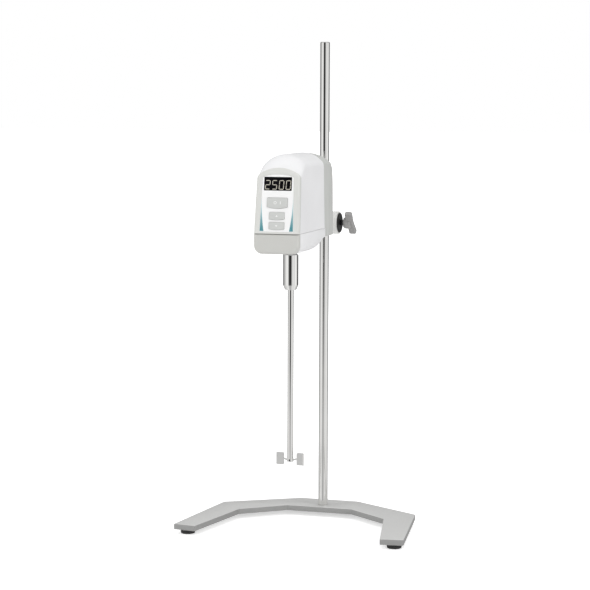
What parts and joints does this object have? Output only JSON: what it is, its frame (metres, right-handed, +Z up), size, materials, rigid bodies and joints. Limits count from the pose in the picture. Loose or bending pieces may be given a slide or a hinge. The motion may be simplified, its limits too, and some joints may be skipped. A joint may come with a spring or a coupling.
{
  "type": "overhead stirrer",
  "caption": "Overhead laboratory stirrer: motor head with display, keys and chuck on a rod and U-shaped base, turning a paddle on a steel shaft.",
  "frame": {"origin": "on the support rod's axis, at the level of the bench", "axes": "+Z up along the support rod, -Y the side that the display faces, +X the clamp knob's side"},
  "size_m": [0.388, 0.3185, 0.808],
  "materials": {
    "base_plate": "satin light grey powder coat",
    "rubber_feet": "matt black rubber",
    "foot_screws": "zinc plated",
    "support_rod": "polished stainless steel",
    "rod_bolt": "black oxide",
    "rod_sleeve": "plain nylon",
    "clamp_block": "white powder coat",
    "clamp_bolts": "black oxide",
    "upper_shell": "satin white moulding",
    "lower_shell": "satin white moulding",
    "front_bezel": "light grey moulding",
    "lower_front_panel": "light grey moulding",
    "back_cover": "light grey moulding",
    "housing_screws": "black oxide",
    "cord_gland": "black",
    "fascia_label": "white printed film with two teal wedges",
    "display_window": "smoked black",
    "display_module": "black",
    "control_board": "green solder mask",
    "key_switches": "black",
    "board_screws": "zinc plated",
    "chassis": "machined",
    "power_board": "green solder mask",
    "motor_can": "dark grey paint",
    "motor_end_bell": "cast and turned",
    "motor_stator": "copper windings on a steel core",
    "motor_screws": "zinc plated",
    "drive_belt": "black rubber",
    "bearing_housing": "machined",
    "housing_flange_screws": "zinc plated",
    "spindle_bearings": "ground steel",
    "shaft_seal": "black rubber",
    "screw_washer": "black",
    "clamp_screw": "black oxide",
    "clamp_knob": "mid grey moulding",
    "power_key": "grey keytop",
    "up_key": "grey keytop",
    "down_key": "grey keytop",
    "motor_rotor": "ground steel",
    "motor_pulley": "anodised",
    "spindle": "ground steel",
    "spindle_pulley": "anodised",
    "spindle_ring": "spring steel",
    "chuck_body": "turned steel",
    "chuck_jaws": "hardened steel",
    "chuck_sleeve": "polished chrome",
    "stirring_shaft": "polished stainless steel",
    "impeller": "polished stainless steel",
    "impeller_pin": "stainless steel"
  },
  "bodies": {
    "stand": {"base_plate": "base_plate", "rubber_feet": "rubber_feet", "foot_screws": "foot_screws", "support_rod": "support_rod", "rod_bolt": "rod_bolt"},
    "sleeve": {"rod_sleeve": "rod_sleeve"},
    "head": {"clamp_block": "clamp_block", "clamp_bolts": "clamp_bolts", "upper_shell": "upper_shell", "lower_shell": "lower_shell", "front_bezel": "front_bezel", "lower_front_panel": "lower_front_panel", "back_cover": "back_cover", "housing_screws": "housing_screws", "cord_gland": "cord_gland", "fascia_label": "fascia_label", "display_window": "display_window", "display_module": "display_module", "control_board": "control_board", "key_switches": "key_switches", "board_screws": "board_screws", "chassis": "chassis", "power_board": "power_board", "motor_can": "motor_can", "motor_end_bell": "motor_end_bell", "motor_stator": "motor_stator", "motor_screws": "motor_screws", "drive_belt": "drive_belt", "bearing_housing": "bearing_housing", "housing_flange_screws": "housing_flange_screws", "spindle_bearings": "spindle_bearings", "shaft_seal": "shaft_seal"},
    "washer": {"screw_washer": "screw_washer"},
    "knob": {"clamp_screw": "clamp_screw", "clamp_knob": "clamp_knob"},
    "power_button": {"power_key": "power_key"},
    "up_button": {"up_key": "up_key"},
    "down_button": {"down_key": "down_key"},
    "rotor": {"motor_rotor": "motor_rotor", "motor_pulley": "motor_pulley"},
    "drive_spindle": {"spindle": "spindle", "spindle_pulley": "spindle_pulley", "spindle_ring": "spindle_ring", "chuck_body": "chuck_body", "chuck_jaws": "chuck_jaws"},
    "chuck_ring": {"chuck_sleeve": "chuck_sleeve"},
    "stirrer": {"stirring_shaft": "stirring_shaft", "impeller": "impeller", "impeller_pin": "impeller_pin"}
  },
  "joints": [
    {"name": "head_height", "type": "slide", "parent": "stand", "child": "sleeve", "axis": [0, 0, 1], "range_m": [-0.08, 0.27]},
    {"name": "head_swivel", "type": "hinge", "parent": "sleeve", "child": "head", "pos_m": [0, 0, 0.5045], "axis": [0, 0, 1], "continuous": true},
    {"name": "screw_advance", "type": "slide", "parent": "head", "child": "washer", "axis": [1, 0, 0], "range_m": [0, 0.0025]},
    {"name": "knob_turn", "type": "hinge", "parent": "washer", "child": "knob", "pos_m": [0.0347, 0, 0.5045], "axis": [1, 0, 0], "range_deg": [0, 720]},
    {"name": "power_button_press", "type": "slide", "parent": "head", "child": "power_button", "axis": [0, 0.9919, -0.1271], "range_m": [0, 0.0008], "stiffness_N_per_m": 1200, "springref_m": -0.0005},
    {"name": "up_button_press", "type": "slide", "parent": "head", "child": "up_button", "axis": [0, 0.9919, -0.1271], "range_m": [0, 0.0008], "stiffness_N_per_m": 1200, "springref_m": -0.0005},
    {"name": "down_button_press", "type": "slide", "parent": "head", "child": "down_button", "axis": [0, 0.9919, -0.1271], "range_m": [0, 0.0008], "stiffness_N_per_m": 1200, "springref_m": -0.0005},
    {"name": "spindle_spin", "type": "hinge", "parent": "head", "child": "drive_spindle", "pos_m": [0, -0.197, 0.47], "axis": [0, 0, 1], "continuous": true},
    {"name": "motor_spin", "type": "hinge", "parent": "head", "child": "rotor", "pos_m": [0, -0.122, 0.54], "axis": [0, 0, 1], "continuous": true},
    {"name": "chuck_turn", "type": "hinge", "parent": "drive_spindle", "child": "chuck_ring", "pos_m": [0, -0.197, 0.44], "axis": [0, 0, 1], "range_deg": [0, 270]},
    {"name": "shaft_pull", "type": "slide", "parent": "drive_spindle", "child": "stirrer", "axis": [0, 0, -1], "range_m": [0, 0.04]}
  ],
  "couplings": [
    {"joint": "knob_turn", "follows": "screw_advance", "rad_per_m": 5026.5},
    {"joint": "motor_spin", "follows": "spindle_spin", "ratio": 1.5385}
  ]
}
